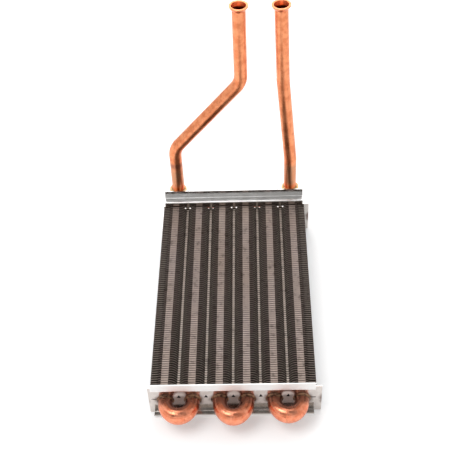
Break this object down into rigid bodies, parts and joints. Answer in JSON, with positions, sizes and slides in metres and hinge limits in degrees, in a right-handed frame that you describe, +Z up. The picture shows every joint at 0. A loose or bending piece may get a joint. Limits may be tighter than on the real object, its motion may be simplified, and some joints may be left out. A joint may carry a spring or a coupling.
{
  "type": "finned tube heat exchanger",
  "caption": "Finned copper tube heat exchanger with folded sheet end plates, return bends and two rising connection pipes with flared mouths.",
  "frame": {"origin": "middle of the underside of the near end plate's foot flange, on the surface the part rests on", "axes": "+X across the tubes, towards the outlet pipe; +Y along the tubes, from the return bend end to the pipe end; +Z up, along the inlet pipe's mouth"},
  "size_m": [0.1953, 0.3575, 0.3363],
  "materials": {
    "plate": "zinc coated sheet, satin",
    "fin": "dark brown grey coating, satin",
    "copper": "bare copper with heat tint",
    "braze": "brass coloured braze"
  },
  "bodies": {
    "root": {"near_end_plate": "plate", "far_end_plate": "plate", "tube_1": "copper", "tube_2": "copper", "tube_3": "copper", "tube_4": "copper", "tube_5": "copper", "tube_6": "copper", "fins_near": "fin", "fins_near_middle": "fin", "fins_middle": "fin", "fins_far_middle": "fin", "fins_far": "fin", "near_return_bend_1": "copper", "near_return_bend_2": "copper", "near_return_bend_3": "copper", "far_return_bend_1": "copper", "far_return_bend_2": "copper", "inlet_elbow": "copper", "outlet_elbow": "copper", "inlet_pipe": "copper", "inlet_pipe_middle": "copper", "inlet_pipe_end": "copper", "outlet_pipe": "copper", "outlet_pipe_middle": "copper", "outlet_pipe_end": "copper", "near_braze_rings": "braze", "far_braze_rings": "braze", "pipe_braze_rings": "braze"}
  },
  "joints": []
}
